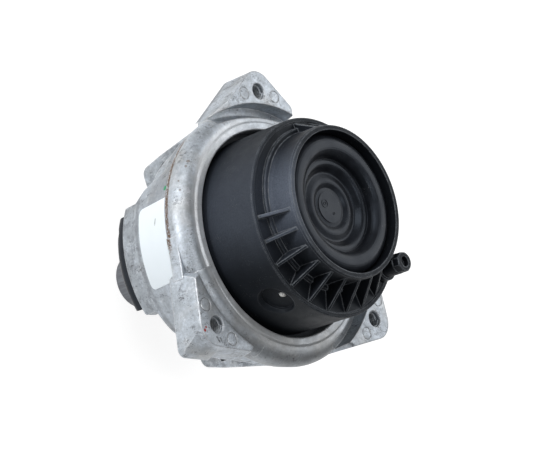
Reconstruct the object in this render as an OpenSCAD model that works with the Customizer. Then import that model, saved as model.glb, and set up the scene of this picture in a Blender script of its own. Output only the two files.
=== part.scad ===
// Hydraulic engine mount: two light-alloy castings clamp a rubber spring, a pair of nozzle plates and a
// black moulded housing. +Z runs along the mount axis from the core's bolt pads to the plastic cup, and
// +Y points to the upper lug. The origin is midway between the two bolt pads, in the plane of their ends.

/* [Stack along the axis] */
// Height of the seam between the two castings above the pad ends
seam_z = 66.5; // [64:0.5:69]
// Height of the ring bracket from the seam to its lip
ring_h = 13.5; // [12.5:0.5:16]
// Depth of the clamping seat in the stop cage
cage_seat_depth = 6; // [5:0.5:7]
// Depth of the clamping seat in the ring bracket
ring_seat_depth = 6; // [5:0.5:7]
// Distance from the seam to the outer end face of the housing
housing_reach = 43.5; // [42:0.5:49]

/* [Ring bracket] */
// Radius of the ring where its outer wall is widest
ring_r = 66; // [65:0.5:68]
// Radius of the ring's outer wall at the seam
ring_foot_r = 64.7; // [64.1:0.1:65.2]
// Radius of the rounded shoulder between outer wall and lip
ring_round_r = 7; // [5:0.5:8]
// Height of the flat lip above the rounded shoulder
lip_step = 0.7; // [0.5:0.1:1.5]
// Outer radius of the flat lip
lip_face_r = 56.8; // [56:0.1:57.5]
// Radius of the bore through the lip
lip_bore_r = 52.8; // [52:0.1:54]
// Radius of the seat that clamps the flanges
seat_r = 57.6; // [57.2:0.1:58.5]

/* [Lugs] */
// Direction of the upper lug about the axis
upper_lug_angle = 90; // [86:0.5:94]
// Direction of the lower left lug
left_lug_angle = 220.2; // [216:0.1:224]
// Direction of the lower right lug
right_lug_angle = 323.6; // [320:0.1:328]
// Depth of the upper lug
upper_lug_depth = 17; // [15.5:0.5:20]
// Depth of the lower left lug
left_lug_depth = 17.5; // [15.5:0.5:20]
// Depth of the lower right lug
right_lug_depth = 19; // [15.5:0.5:21]
// Radius of the circle through the lug holes
lug_hole_circle_r = 72.9; // [71:0.1:75]
// Radius of the rounded lug tip
lug_tip_r = 10.5; // [9:0.5:12]
// Distance of a lug's side walls from the mount axis
lug_wall_r = 64; // [62:0.1:64.1]
// Half the width of a lug's raised face
lug_face_half_w = 23; // [21:0.5:25]
// Length over which the upper lug's face slopes down to the ring on its long side
lug_slope_l = 9; // [4:0.5:10]
// How far the steep ends of the lugs lean outwards
lug_end_lean = 2.5; // [1:0.5:4]
// Radius of the grooves between lip and lugs
groove_tube_r = 5.5; // [4.5:0.1:5.6]
// Height of the lug faces above the lip
lug_rise = 1; // [0.5:0.5:3]
// Radius of the threaded holes, at the thread's root
lug_hole_r = 4; // [3:0.5:5]
// Depth of the threaded holes
lug_hole_depth = 15; // [10:0.5:16]
// Radius of the round ejector marks on the lug faces
ejector_r = 3.3; // [2:0.1:4]
// Depth of the ejector marks
ejector_depth = 0.3; // [0.1:0.1:0.6]

/* [Stop cage] */
// Height of the rear edge of the side walls
cage_rear_z = 26; // [24:0.5:28]
// Outer radius of the side walls at their rear edge
cage_rear_r = 56.6; // [56:0.1:57.5]
// Outer radius of the side walls at the seam
cage_seam_r = 64.4; // [63.7:0.1:64.5]
// Bore of the side walls beside the buffers
cage_bore_r = 52.8; // [52.6:0.1:53.5]
// Height of the shoulder on the side walls
shoulder_z = 37.5; // [35:0.5:39]
// Width of the closed rim that joins walls and arch
cage_rim_h = 8; // [7.5:0.5:10]
// Outer radius of the collar round the spring sleeve
collar_r = 57.2; // [56.8:0.1:58]
// Height of the collar's rear edge
collar_z = 44; // [41:0.5:45]
// Width of the arched strap
strap_w = 20; // [16:0.5:21]
// Thickness of the arch's legs
strap_t = 6; // [5:0.1:7]
// Thickness of the crossbar
crossbar_t = 7.5; // [6:0.5:9]
// Distance of the arch's legs from its middle at the seam
strap_seam_y = 63.6; // [63:0.1:64]
// Distance of the arch's legs from its middle at half height
strap_mid_y = 56.3; // [55:0.1:58]
// Distance of the arch's corners from its middle
strap_foot_y = 52.6; // [50:0.1:54]
// Offset of the arch's middle from the mount axis
strap_shift = 0.8; // [0:0.1:1.5]

/* [Core] */
// How far the bolt pads stand behind the crossbar
pad_proud = 11.5; // [9:0.5:13]
// Distance of the pad centres from the axis
pad_offset = 26.7; // [26.5:0.1:28]
// Turn of the bolt pads and the arch about the axis
core_turn = 11.9; // [8:0.1:12.5]
// Radius of the bolt pads
pad_r = 13.8; // [12:0.1:14]
// Radius of the threaded holes in the pads
pad_hole_r = 5; // [4:0.5:6]
// Depth of the threaded holes in the pads
pad_hole_depth = 20; // [14:0.5:22]
// Height of the rear side of the beam's arms
beam_z = 16; // [15:0.5:17]
// Thickness of the beam's arms
beam_t = 15; // [13:0.5:17]
// Length of the free gap between crossbar and beam
beam_gap = 5; // [4:0.5:6]
// Radius at which the beam's arms end
arm_r = 45; // [43:0.5:46]
// Radius of the hub's cone at the beam
hub_foot_r = 22; // [20:0.5:24]
// Radius of the hub's cone at its tip
hub_tip_r = 14; // [12:0.5:16]
// Height of the hub's cone
hub_h = 20; // [18:0.5:22]

/* [Rubber] */
// Outer radius of the stop buffers
buffer_r = 52.3; // [51:0.1:52.4]
// Length of the stop buffers along the axis
buffer_h = 24; // [18:0.5:26]
// Thickness of the rebound pad
rebound_t = 3; // [2:0.5:3.5]
// Height at which the main spring leaves the sleeve
spring_skirt_z = 46; // [44:0.5:50]
// Thickness of the diaphragm
diaphragm_t = 1.8; // [1.2:0.1:2]
// Thickness of the decoupler membrane
decoupler_t = 3; // [2:0.5:4]

/* [Spring sleeve] */
// Outer radius of the sleeve
sleeve_r = 54.3; // [54:0.1:54.4]
// Wall thickness of the sleeve
sleeve_wall = 1.8; // [1.5:0.1:2.5]
// Thickness of the sleeve's flange
sleeve_flange_t = 4; // [3:0.5:4.5]
// Length of the sleeve
sleeve_h = 19.5; // [17:0.5:20]

/* [Housing] */
// Outer radius of the housing
housing_r = 50; // [49.6:0.1:51]
// Wall thickness of the housing
housing_wall = 3.5; // [3:0.1:3.5]
// Thickness of the housing's end floor
floor_t = 4; // [3:0.5:5]
// Width of the raised bead round the end face
bead_w = 2.3; // [1.5:0.1:3]
// Depth of the end face below the bead
bead_h = 0.8; // [0.4:0.1:1.2]
// Offset of the cup from the mount axis
cup_y = 3.7; // [2:0.1:4]
// Outer radius of the cup ring
cup_r = 38.3; // [37.5:0.1:39]
// Wall thickness of the cup ring
cup_wall = 2.7; // [2:0.1:2.8]
// Height of the cup ring above the end face
cup_h = 15; // [12:0.5:18]
// Radius of the step round the cup's foot
step_r = 41.1; // [40.5:0.1:42]

/* [Fins] */
// Number of places for fins
fin_places = 20; // [14:1:20]
// Direction of the first fin from the cup's centre
fin_start = 187.5; // [187:0.5:190]
// Angle between two fins
fin_pitch = 14.5; // [13.5:0.1:14.5]
// Thickness of a fin
fin_t = 1.5; // [1:0.1:2]
// Height of the fins' outer ends above the end face
fin_foot_h = 1.2; // [0.6:0.1:2]
// How far the fins end below the cup's rim
fin_drop = 2.7; // [1:0.1:5]

/* [Nozzle and filler port] */
// Direction of the nozzle from the mount axis
nozzle_angle = 323.7; // [321:0.1:326]
// Distance of the nozzle from the mount axis
nozzle_reach = 42.8; // [42.4:0.1:43.4]
// Radius of the nozzle
nozzle_r = 5.1; // [4.5:0.1:5.5]
// Height of the nozzle above the end face
nozzle_h = 16; // [13:0.5:18]
// Radius of the air duct
duct_r = 1.75; // [1:0.05:2]
// Distance of the air tube above the seam
air_rise = 28; // [27.5:0.5:29]
// Direction of the filler port
port_angle = 232.5; // [228:0.5:240]
// Distance of the filler port below the housing's end face
port_drop = 13; // [11:0.5:14]
// Radius of the filler port at the wall
port_r = 9.3; // [8:0.1:9.5]
// Depth of the filler port
port_depth = 3.2; // [2:0.1:3.4]
// Radius of the fill ball
ball_r = 2.3; // [1.8:0.1:2.6]
// Distance of the fill ball from the middle of the port, towards the end face
ball_shift = 2.8; // [0:0.1:3]

/* [Nozzle plates and idle valve] */
// Radius of the two nozzle plates
plate_r = 46.2; // [45:0.1:46.3]
// Thickness of each nozzle plate
plate_t = 8; // [7:0.5:9]
// Thickness of the upper plate's clamped rim
plate_rim_t = 4; // [3:0.5:5]
// Radius of the central port
port_hole_r = 7; // [5:0.5:8]
// Middle radius of the inertia track
track_r = 40; // [39:0.5:41]
// Width of the inertia track
track_w = 6; // [4:0.5:7]
// Depth of the inertia track in each plate
track_depth = 4; // [2:0.5:5]
// Inner radius of the valve skirt
skirt_r = 22.6; // [21:0.1:23]
// Height of the valve skirt
skirt_h = 10; // [8:0.5:12]
// Height of the valve cup
valve_cup_h = 17.5; // [16:0.5:19]
// Radius of the valve spring's coil
coil_r = 8; // [7:0.5:10]
// Radius of the valve spring's wire
wire_r = 0.9; // [0.6:0.1:1.2]

/* [Label] */
// Height of the label's rear edge
label_rear_z = 42.5; // [41:0.5:46]
// Distance of the label's upper edge from the axis
label_up_y = 18.5; // [14:0.5:20]
// Distance of the label's lower edge from the axis
label_down_y = 21.5; // [18:0.5:24]
// Thickness of the label
label_t = 0.25; // [0.15:0.05:0.4]

/* [Hidden] */
$fn = 96;
clearance = 0.3;
slip = 0.2;
through = 1;
alloy = "#b9bec4";
plastic = "#232527";
rubber = "#2b2b2c";

lug_angles = [upper_lug_angle, left_lug_angle, right_lug_angle];
lug_depths = [upper_lug_depth, left_lug_depth, right_lug_depth];
lug_slopes = [[lug_end_lean, lug_slope_l], [lug_end_lean, lug_end_lean], [lug_end_lean, lug_end_lean]];
groove_ends = [[-29, 30], [-21, 27], [-29, 29]];

lip_z = seam_z + ring_h;
lug_z = lip_z + lug_rise;
lug_floor_z = lip_z - 7.6;
cage_gap = 1.6;
cage_seat_z = seam_z - cage_seat_depth;
joint_z = cage_seat_z + sleeve_flange_t;
ring_seat_z = seam_z + ring_seat_depth;
flange_r = seat_r - clearance;
end_z = seam_z + housing_reach;
air_z = seam_z + air_rise;
port_z = end_z - port_drop;
rim_z = end_z + cup_h;
cavity_r = housing_r - housing_wall;
floor_z = end_z - floor_t;
cup_bore_r = cup_r - cup_wall;
cup_centre = [0, cup_y];

crossbar_z = pad_proud;
saddle_z = crossbar_z + crossbar_t + beam_gap;
hub_z = beam_z + beam_t;
arm_up_y = 15.4;
arm_down_y = 20.4;
buffer_z = beam_z - 0.7;

plate_mid_z = joint_z + plate_t;
valve_z = plate_mid_z + plate_t;
membrane_rim_t = 2.5;
valve_cup_z = valve_z + membrane_rim_t;
valve_cup_r = skirt_r - slip;
valve_wall = 2;
skirt_wall = 2.4;
plug_top_z = valve_z + 5;
decoupler_in_r = 16.4;
decoupler_out_r = 32.6;

nozzle_pos = nozzle_reach * [cos(nozzle_angle), sin(nozzle_angle)];
fin_gap_place = 9;
duct_boss_r = 4.4;
stub_r = 2.6;
stub_l = 4;
tube_wall = 1.2;

bead_seat_r = 40;
bead_d = 3.4;
bead_wall = 2.5;
clamp_ring_h = 4;

// Points of an arc about a centre, from one angle to another
function arc(centre, r, from, to, steps = 10) =
    [for (i = [0:steps]) let (a = from + (to - from) * i / steps) centre + r * [cos(a), sin(a)]];

function unit(v) = v / norm(v);

// The corner b between a and c, rounded to a radius
function round_corner(a, b, c, r) =
    r == 0 ? [b] :
    let (u = unit(a - b), v = unit(c - b), half = acos(u * v) / 2,
         centre = b + unit(u + v) * r / sin(half),
         p = b + u * r / tan(half) - centre, q = b + v * r / tan(half) - centre,
         from = atan2(p.y, p.x), turn = (atan2(q.y, q.x) - from + 540) % 360 - 180)
    arc(centre, r, from, from + turn, max(3, ceil(abs(turn) / 12)));

function xy(corner) = [corner[0], corner[1]];

// A closed outline from corners given as [x, y, radius]
function rounded(corners) = let (n = len(corners))
    [for (i = [0:n - 1]) each round_corner(xy(corners[(i + n - 1) % n]), xy(corners[i]),
        xy(corners[(i + 1) % n]), corners[i][2])];

// An open path from corners given as [x, y, radius]
function rounded_path(corners) = let (n = len(corners))
    [xy(corners[0]), for (i = [1:n - 2]) each round_corner(xy(corners[i - 1]), xy(corners[i]),
        xy(corners[i + 1]), corners[i][2]), xy(corners[n - 1])];

// The outline of a sheet of thickness t laid evenly about a path
function thickened(path, t) = let (n = len(path),
    normals = [for (i = [0:n - 1])
        let (d = unit(path[min(i + 1, n - 1)] - path[max(i - 1, 0)])) [-d.y, d.x]])
    concat([for (i = [0:n - 1]) path[i] + normals[i] * t / 2],
           [for (i = [n - 1:-1:0]) path[i] - normals[i] * t / 2]);

// A round disc or cylinder between two heights
module disc(r, z0, z1) translate([0, 0, z0]) cylinder(r = r, h = z1 - z0);

// A ring between two radii and two heights
module band(r0, r1, z0, z1) rotate_extrude() translate([r0, z0]) square([r1 - r0, z1 - z0]);

// A side-view outline in Y and Z, extruded along X
module side_prism(x0, x1, outline)
    translate([x0, 0, 0]) rotate([90, 0, 90]) linear_extrude(x1 - x0) polygon(outline);

// A pair of copies, the second turned half round
module both_sides() for (turn = [0, 180]) rotate(turn) children();

// Places its children at a direction, pointing outwards along X
module radial(angle, z) rotate(angle) translate([0, 0, z]) rotate([0, 90, 0]) children();

/* Ring bracket */

// Direction in which a lug's side wall faces, seen from the lug's own direction
lug_lean = acos((lug_wall_r - lug_tip_r) / lug_hole_circle_r);
lug_root = lug_wall_r * [cos(lug_lean), sin(lug_lean)];

// Outline of a lug that points along X, between walls that meet the ring at its side
module lug_outline() {
    tip = [lug_hole_circle_r, 0] + lug_tip_r * [cos(lug_lean), sin(lug_lean)];
    translate([lug_hole_circle_r, 0]) circle(lug_tip_r);
    polygon([tip, lug_root, [lug_root.x, -lug_root.y], [tip.x, -tip.y]]);
}

// A side view of a lug: its raised face, and the slopes at both ends
module lug_side(slopes) {
    foot_z = lug_floor_z - 0.1;
    low_y = -lug_face_half_w - slopes[0];
    high_y = lug_face_half_w + slopes[1];
    side_prism(0, 2 * ring_r, rounded([[low_y, 0, 0], [low_y, foot_z, 2], [-lug_face_half_w, lug_z, 1.5],
        [lug_face_half_w, lug_z, 1.5], [high_y, foot_z, 2], [high_y, 0, 0]]));
}

// A lug block that points along X, between two depths below its face
module lug_block(depth, slopes) intersection() {
    translate([0, 0, lug_z - depth]) linear_extrude(depth) lug_outline();
    lug_side(slopes);
}

// What widens a round lug tip to a nearly square corner at its rear
module lug_corner(depth, slopes) {
    corner = [lug_hole_circle_r + 16, 2.1, 4];
    roots = [for (turn = [-lug_lean, lug_lean + 3]) lug_wall_r * [cos(turn), sin(turn)]];
    intersection() {
        translate([0, 0, lug_z - depth]) linear_extrude(depth - 3)
            polygon(rounded([corner, [roots[0].x, roots[0].y, 0], [roots[1].x, roots[1].y, 0]]));
        translate([lug_hole_circle_r, 0, lug_z - depth - through])
            cylinder(r1 = 16, r2 = lug_tip_r - 1, h = depth + through);
        lug_side(slopes);
    }
}

module ring_profile() {
    round_z = lip_z - lip_step - ring_round_r;
    top_r = ring_r - ring_round_r;
    polygon([[lip_bore_r, seam_z], [ring_foot_r, seam_z], [ring_r, round_z], [lip_bore_r, round_z]]);
    translate([top_r, round_z]) intersection() {
        circle(ring_round_r);
        square(ring_round_r);
    }
    polygon([[lip_bore_r, round_z], [top_r + 0.1, round_z], [top_r + 0.1, lip_z - lip_step],
        [lip_face_r + 0.8, lip_z - lip_step], [lip_face_r, lip_z - 0.2], [lip_face_r - 0.5, lip_z],
        [lip_bore_r + 0.6, lip_z], [lip_bore_r, lip_z - 0.6]]);
}

// The groove between lip and lug face, flatter than the ring, between two directions
module lug_groove(ends) {
    offset = 34;
    lip_edge_r = ring_r - ring_round_r + 0.2;
    tube_z = lug_floor_z + groove_tube_r - 0.4;
    reach = sqrt(groove_tube_r ^ 2 - (lip_z - lip_step - tube_z) ^ 2);
    intersection() {
        translate([-offset, 0, tube_z])
            rotate_extrude() translate([offset + lip_edge_r + reach, 0]) circle(groove_tube_r);
        linear_extrude(lip_z + through)
            polygon([[0, 0], for (end = ends) 2 * ring_r * [cos(end), sin(end)]]);
    }
}

module ring_bracket() color(alloy) difference() {
    union() {
        difference() {
            rotate_extrude() ring_profile();
            for (i = [0:2]) rotate(lug_angles[i]) lug_groove(groove_ends[i]);
        }
        for (i = [0:2]) rotate(lug_angles[i]) difference() {
            union() {
                lug_block(lug_depths[i], lug_slopes[i]);
                if (i == 1) lug_corner(lug_depths[i], lug_slopes[i]);
            }
            disc(ring_r + 0.4, lug_floor_z, lug_z + through);
            disc(cage_seam_r + cage_gap, 0, seam_z);
        }
    }
    disc(lip_bore_r, seam_z - through, lip_z + through);
    disc(seat_r, seam_z - through, ring_seat_z);
    for (angle = lug_angles) rotate(angle) translate([lug_hole_circle_r, 0, 0]) {
        disc(lug_hole_r, lug_z - lug_hole_depth, lug_z + through);
        translate([0, 0, lug_z - 0.5]) cylinder(r1 = lug_hole_r, r2 = lug_hole_r + 1, h = 1);
        for (side = [-1, 1]) translate([-2, side * (lug_tip_r + 0.3), 0])
            band(ejector_r - 0.4, ejector_r, lug_z - ejector_depth, lug_z + through);
    }
}

/* Stop cage */

wall_up_y = 24;
wall_up_mid_y = 29;
wall_up_seam_y = 36;
wall_down_y = 30;
wall_down_mid_y = 42;
wall_down_seam_y = 50;
wall_corners = [[wall_up_y, cage_rear_z, 3], [wall_up_y, shoulder_z, 2], [wall_up_mid_y, shoulder_z + 6, 4],
    [wall_up_seam_y, seam_z, 0], [-wall_down_seam_y, seam_z, 0], [-wall_down_mid_y, shoulder_z + 1, 4],
    [-wall_down_y, shoulder_z - 1.5, 2], [-wall_down_y, cage_rear_z, 3]];

strap_mid_z = 27;
arch_corners = [[-strap_seam_y, seam_z, 0], [-strap_mid_y, strap_mid_z, 20], [-strap_foot_y, crossbar_z, 5],
    [strap_foot_y, crossbar_z, 5], [strap_mid_y, strap_mid_z, 20], [strap_seam_y, seam_z, 0],
    [strap_seam_y - strap_t, seam_z, 0], [strap_mid_y - strap_t + 2, strap_mid_z, 10],
    [strap_foot_y - strap_t, crossbar_z + crossbar_t, 4],
    [strap_t - strap_foot_y, crossbar_z + crossbar_t, 4],
    [strap_t - strap_mid_y - 2, strap_mid_z, 10], [strap_t - strap_seam_y, seam_z, 0]];

function cage_r(z) = cage_rear_r + (cage_seam_r - cage_rear_r) * (z - cage_rear_z) / (seam_z - cage_rear_z);

module cage_wall_profile() polygon(rounded([[cage_bore_r - through, cage_rear_z, 0],
    [cage_rear_r, cage_rear_z, 2], [cage_r(shoulder_z) - 0.6, shoulder_z - 1, 2],
    [cage_r(shoulder_z), shoulder_z, 2], [cage_seam_r, seam_z, 0], [cage_bore_r - through, seam_z, 0]]));

module stop_cage() color(alloy) difference() {
    sleeve_shoulder_z = joint_z - sleeve_h - 0.5;
    union() {
        intersection() {
            rotate_extrude() cage_wall_profile();
            both_sides() side_prism(-ring_r, -cage_bore_r / 3, rounded(wall_corners));
        }
        band(cage_bore_r - through, cage_r(seam_z - cage_rim_h) - 0.5, seam_z - cage_rim_h, seam_z);
        band(cage_bore_r - through, collar_r, collar_z, seam_z - cage_rim_h + through);
        rotate(core_turn) translate([0, strap_shift, 0])
            side_prism(-strap_w / 2, strap_w / 2, rounded(arch_corners));
    }
    disc(cage_bore_r, cage_rear_z - through, seam_z + through);
    disc(sleeve_r + slip, sleeve_shoulder_z, seam_z + through);
    disc(seat_r, cage_seat_z, seam_z + through);
}

/* Core and rubber */

// Plan of the beam: a bar with ends rounded about the axis
module beam_plan() intersection() {
    circle(arm_r);
    polygon(rounded([[-arm_r - 1, arm_up_y, 0], [0, arm_up_y, 20], [arm_r + 1, arm_down_y, 0],
        [arm_r + 1, -arm_up_y, 0], [0, -arm_up_y, 20], [-arm_r - 1, -arm_down_y, 0]]));
}

module core() color(alloy) difference() {
    edge = 1;
    union() {
        translate([0, 0, beam_z]) linear_extrude(beam_t) beam_plan();
        for (turn = [0, 180]) rotate(core_turn + turn) translate([pad_offset, 0, 0]) {
            cylinder(r1 = pad_r - edge, r2 = pad_r, h = edge);
            disc(pad_r, edge, beam_z + edge);
        }
        translate([0, 0, hub_z]) cylinder(r1 = hub_foot_r, r2 = hub_tip_r, h = hub_h);
        disc(hub_tip_r - 2, hub_z + hub_h - 1, hub_z + hub_h + 2);
    }
    rotate(core_turn) translate([-strap_w / 2 - 2, -arm_r, 0]) cube([strap_w + 4, 2 * arm_r, saddle_z]);
    for (turn = [0, 180]) rotate(core_turn + turn) translate([pad_offset, 0, 0]) {
        disc(pad_hole_r, -through, pad_hole_depth);
        translate([0, 0, pad_hole_depth]) cylinder(r1 = pad_hole_r, r2 = 0.5, h = pad_hole_r / 2);
        translate([0, 0, -0.5]) cylinder(r1 = pad_hole_r + 1, r2 = pad_hole_r, h = 1);
    }
}

function hub_r(z) = hub_foot_r - (hub_foot_r - hub_tip_r) * (z - hub_z) / hub_h;

module main_spring() color(rubber) {
    foot_z = hub_z + 2;
    crown_z = hub_z + hub_h - 2;
    wall_r = sleeve_r - sleeve_wall;
    rotate_extrude() polygon(rounded([[hub_r(foot_z), foot_z, 0], [(hub_foot_r + wall_r) / 2, foot_z + 5, 20],
        [wall_r, spring_skirt_z, 0], [wall_r, joint_z, 0], [wall_r - 6, joint_z, 1],
        [(hub_tip_r + wall_r) / 2, crown_z + 3, 20], [hub_r(crown_z), crown_z, 0]]));
}

module spring_sleeve() color("#8d8f92") {
    in_r = sleeve_r - sleeve_wall;
    rotate_extrude() polygon([[in_r, joint_z - sleeve_h], [sleeve_r, joint_z - sleeve_h],
        [sleeve_r, joint_z - sleeve_flange_t], [flange_r, joint_z - sleeve_flange_t], [flange_r, joint_z],
        [in_r, joint_z]]);
}

// One buffer on the beam's arm that points along -X
module stop_buffer() {
    from = 155.5;
    sweep = 54;
    notch_r = 3.2;
    difference() {
        rotate(from) rotate_extrude(angle = sweep) polygon(rounded([[arm_r, buffer_z, 0],
            [buffer_r, buffer_z, 5], [buffer_r, buffer_z + buffer_h, 2], [arm_r, buffer_z + buffer_h, 0]]));
        for (notch = [9, sweep - 9])
            radial(from + notch, buffer_z) disc(notch_r, arm_r + 2, buffer_r + through);
    }
}

module stop_buffer_left() color(rubber) stop_buffer();
module stop_buffer_right() color(rubber) rotate(180) stop_buffer();

module rebound_pad() color(rubber) {
    half_x = strap_w / 2 - 1.5;
    half_y = 13;
    rotate(core_turn) translate([0, 0, saddle_z - rebound_t]) linear_extrude(rebound_t)
        polygon(rounded([for (p = [[1, 1], [-1, 1], [-1, -1], [1, -1]]) [p.x * half_x, p.y * half_y, 3]]));
}

/* Nozzle plates and decoupler */

// Ring of round windows under and over the decoupler
module decoupler_windows(z0, z1) {
    count = 12;
    circle_r = (skirt_r + skirt_wall + decoupler_out_r) / 2;
    for (i = [1:count]) rotate(360 / count * i) translate([circle_r, 0, 0]) disc(2.6, z0, z1);
}

// One half of the inertia track, open over most of a turn
module track(z0, z1) rotate(15) translate([0, 0, z0]) rotate_extrude(angle = 330)
    translate([track_r - track_w / 2, 0]) square([track_w, z1 - z0]);

module track_port(angle, z0, z1) rotate(angle) translate([track_r, 0, 0]) disc(track_w / 2 - 0.2, z0, z1);

module upper_nozzle_plate() color("#3a3d40") difference() {
    union() {
        disc(plate_r, joint_z, plate_mid_z);
        disc(sleeve_r - 0.5, joint_z, joint_z + plate_rim_t);
    }
    disc(port_hole_r, joint_z - through, plate_mid_z + through);
    band(decoupler_in_r - slip, decoupler_out_r + slip, plate_mid_z - decoupler_t / 2,
        plate_mid_z + through);
    decoupler_windows(joint_z - through, plate_mid_z);
    track(plate_mid_z - track_depth, plate_mid_z + through);
    track_port(21, joint_z - through, plate_mid_z);
}

module lower_nozzle_plate() color("#3a3d40") difference() {
    union() {
        disc(plate_r, plate_mid_z, valve_z);
        band(skirt_r, skirt_r + skirt_wall, valve_z - 0.5, valve_z + skirt_h);
    }
    disc(port_hole_r, plate_mid_z - through, valve_z + through);
    band(decoupler_in_r - slip, decoupler_out_r + slip, plate_mid_z - through,
        plate_mid_z + decoupler_t / 2);
    decoupler_windows(plate_mid_z, valve_z + through);
    track(plate_mid_z - through, plate_mid_z + track_depth);
    track_port(339, plate_mid_z, valve_z + through);
}

module decoupler_membrane() color(rubber)
    band(decoupler_in_r, decoupler_out_r, plate_mid_z - decoupler_t / 2, plate_mid_z + decoupler_t / 2);

/* Idle valve */

module idle_valve_membrane() color(rubber) {
    plug_r = port_hole_r + 2;
    rotate_extrude() polygon([[0, valve_z], [plug_r, valve_z], [plug_r + 1, valve_z + 1],
        [valve_cup_r - 3, valve_z + 1], [valve_cup_r - 2, valve_z], [valve_cup_r, valve_z],
        [valve_cup_r, valve_cup_z], [valve_cup_r - 3, valve_cup_z], [valve_cup_r - 4, valve_z + 2],
        [plug_r, valve_z + 2], [plug_r, plug_top_z], [0, plug_top_z]]);
}

module idle_valve_cup() color("#3a3d40") difference() {
    union() {
        disc(valve_cup_r, valve_cup_z, valve_cup_z + valve_cup_h);
        radial(nozzle_angle, air_z) disc(stub_r, valve_cup_r - 1, valve_cup_r + stub_l);
    }
    disc(valve_cup_r - valve_wall, valve_cup_z - through, valve_cup_z + valve_cup_h - valve_wall);
    radial(nozzle_angle, air_z) disc(duct_r - 0.4, 0, valve_cup_r + stub_l + through);
}

// Helix of the valve spring, swept with a six-sided wire
module idle_valve_spring() color("#9a9c9e") {
    turns = 4.5;
    rings = 72;
    sides = 6;
    low = plug_top_z + wire_r;
    high = valve_cup_z + valve_cup_h - valve_wall - wire_r;
    points = [for (i = [0:rings], j = [0:sides - 1])
        let (a = 360 * turns * i / rings, b = 360 * j / sides, r = coil_r + wire_r * cos(b))
        [r * cos(a), r * sin(a), low + (high - low) * i / rings + wire_r * sin(b)]];
    walls = [for (i = [0:rings - 1], j = [0:sides - 1])
        let (k = (j + 1) % sides) [i * sides + j, i * sides + k, (i + 1) * sides + k, (i + 1) * sides + j]];
    ends = [[for (j = [sides - 1:-1:0]) j], [for (j = [0:sides - 1]) rings * sides + j]];
    polyhedron(points, concat(walls, ends));
}

module air_tube() color(rubber) difference() {
    radial(nozzle_angle, air_z) disc(stub_r + tube_wall, valve_cup_r - 1, nozzle_reach);
    radial(nozzle_angle, air_z) disc(stub_r, 0, nozzle_reach + through);
    disc(valve_cup_r, valve_cup_z, valve_cup_z + valve_cup_h);
    translate(nozzle_pos) disc(duct_boss_r, 0, end_z);
}

/* Housing */

// Distance from the cup's centre to the bead, in a direction
function to_bead(angle) = let (in_r = housing_r - bead_w, along = cup_y * sin(angle))
    sqrt(in_r * in_r - cup_y * cup_y + along * along) - along;

module fin(angle) {
    foot_z = end_z - bead_h;
    reach = to_bead(angle) - 0.4;
    translate(cup_centre) rotate([90, 0, angle]) linear_extrude(fin_t, center = true)
        polygon([[cup_r - 1, foot_z - 1], [reach, foot_z - 1], [reach, foot_z + fin_foot_h - 0.3],
            [reach - 0.4, foot_z + fin_foot_h], [cup_r, rim_z - fin_drop], [cup_r - 1, rim_z - fin_drop]]);
}

module nozzle() translate(nozzle_pos) {
    tip_z = end_z + nozzle_h;
    disc(nozzle_r + 1.4, end_z - 1, end_z + 4);
    disc(nozzle_r, end_z, tip_z - 4);
    intersection() {
        rotate(22.5) translate([0, 0, tip_z - 5]) cylinder(r = nozzle_r - 0.05, h = 5, $fn = 8);
        translate([0, 0, tip_z - 6]) cylinder(r1 = nozzle_r + 5, r2 = nozzle_r - 0.6, h = 6);
    }
}

module housing_shell() rotate_extrude() polygon(rounded([[0, joint_z, 0], [flange_r, joint_z, 0],
    [flange_r, ring_seat_z, 0], [housing_r, ring_seat_z, 0], [housing_r, end_z, 0.8],
    [housing_r - bead_w, end_z, 0.5], [housing_r - bead_w, end_z - bead_h, 0], [0, end_z - bead_h, 0]]));

module cup_ring() translate(cup_centre) rotate_extrude() polygon(rounded([[cup_r - cup_wall - 1, floor_z, 0],
    [step_r, floor_z, 0], [step_r, end_z + 0.7, 0.6], [cup_r + 0.5, end_z + 0.7, 0], [cup_r, end_z + 3, 0],
    [cup_r, rim_z - 1.2, 0], [cup_r - 0.5, rim_z, 0.3], [cup_r - cup_wall - 1, rim_z, 0]]));

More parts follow.
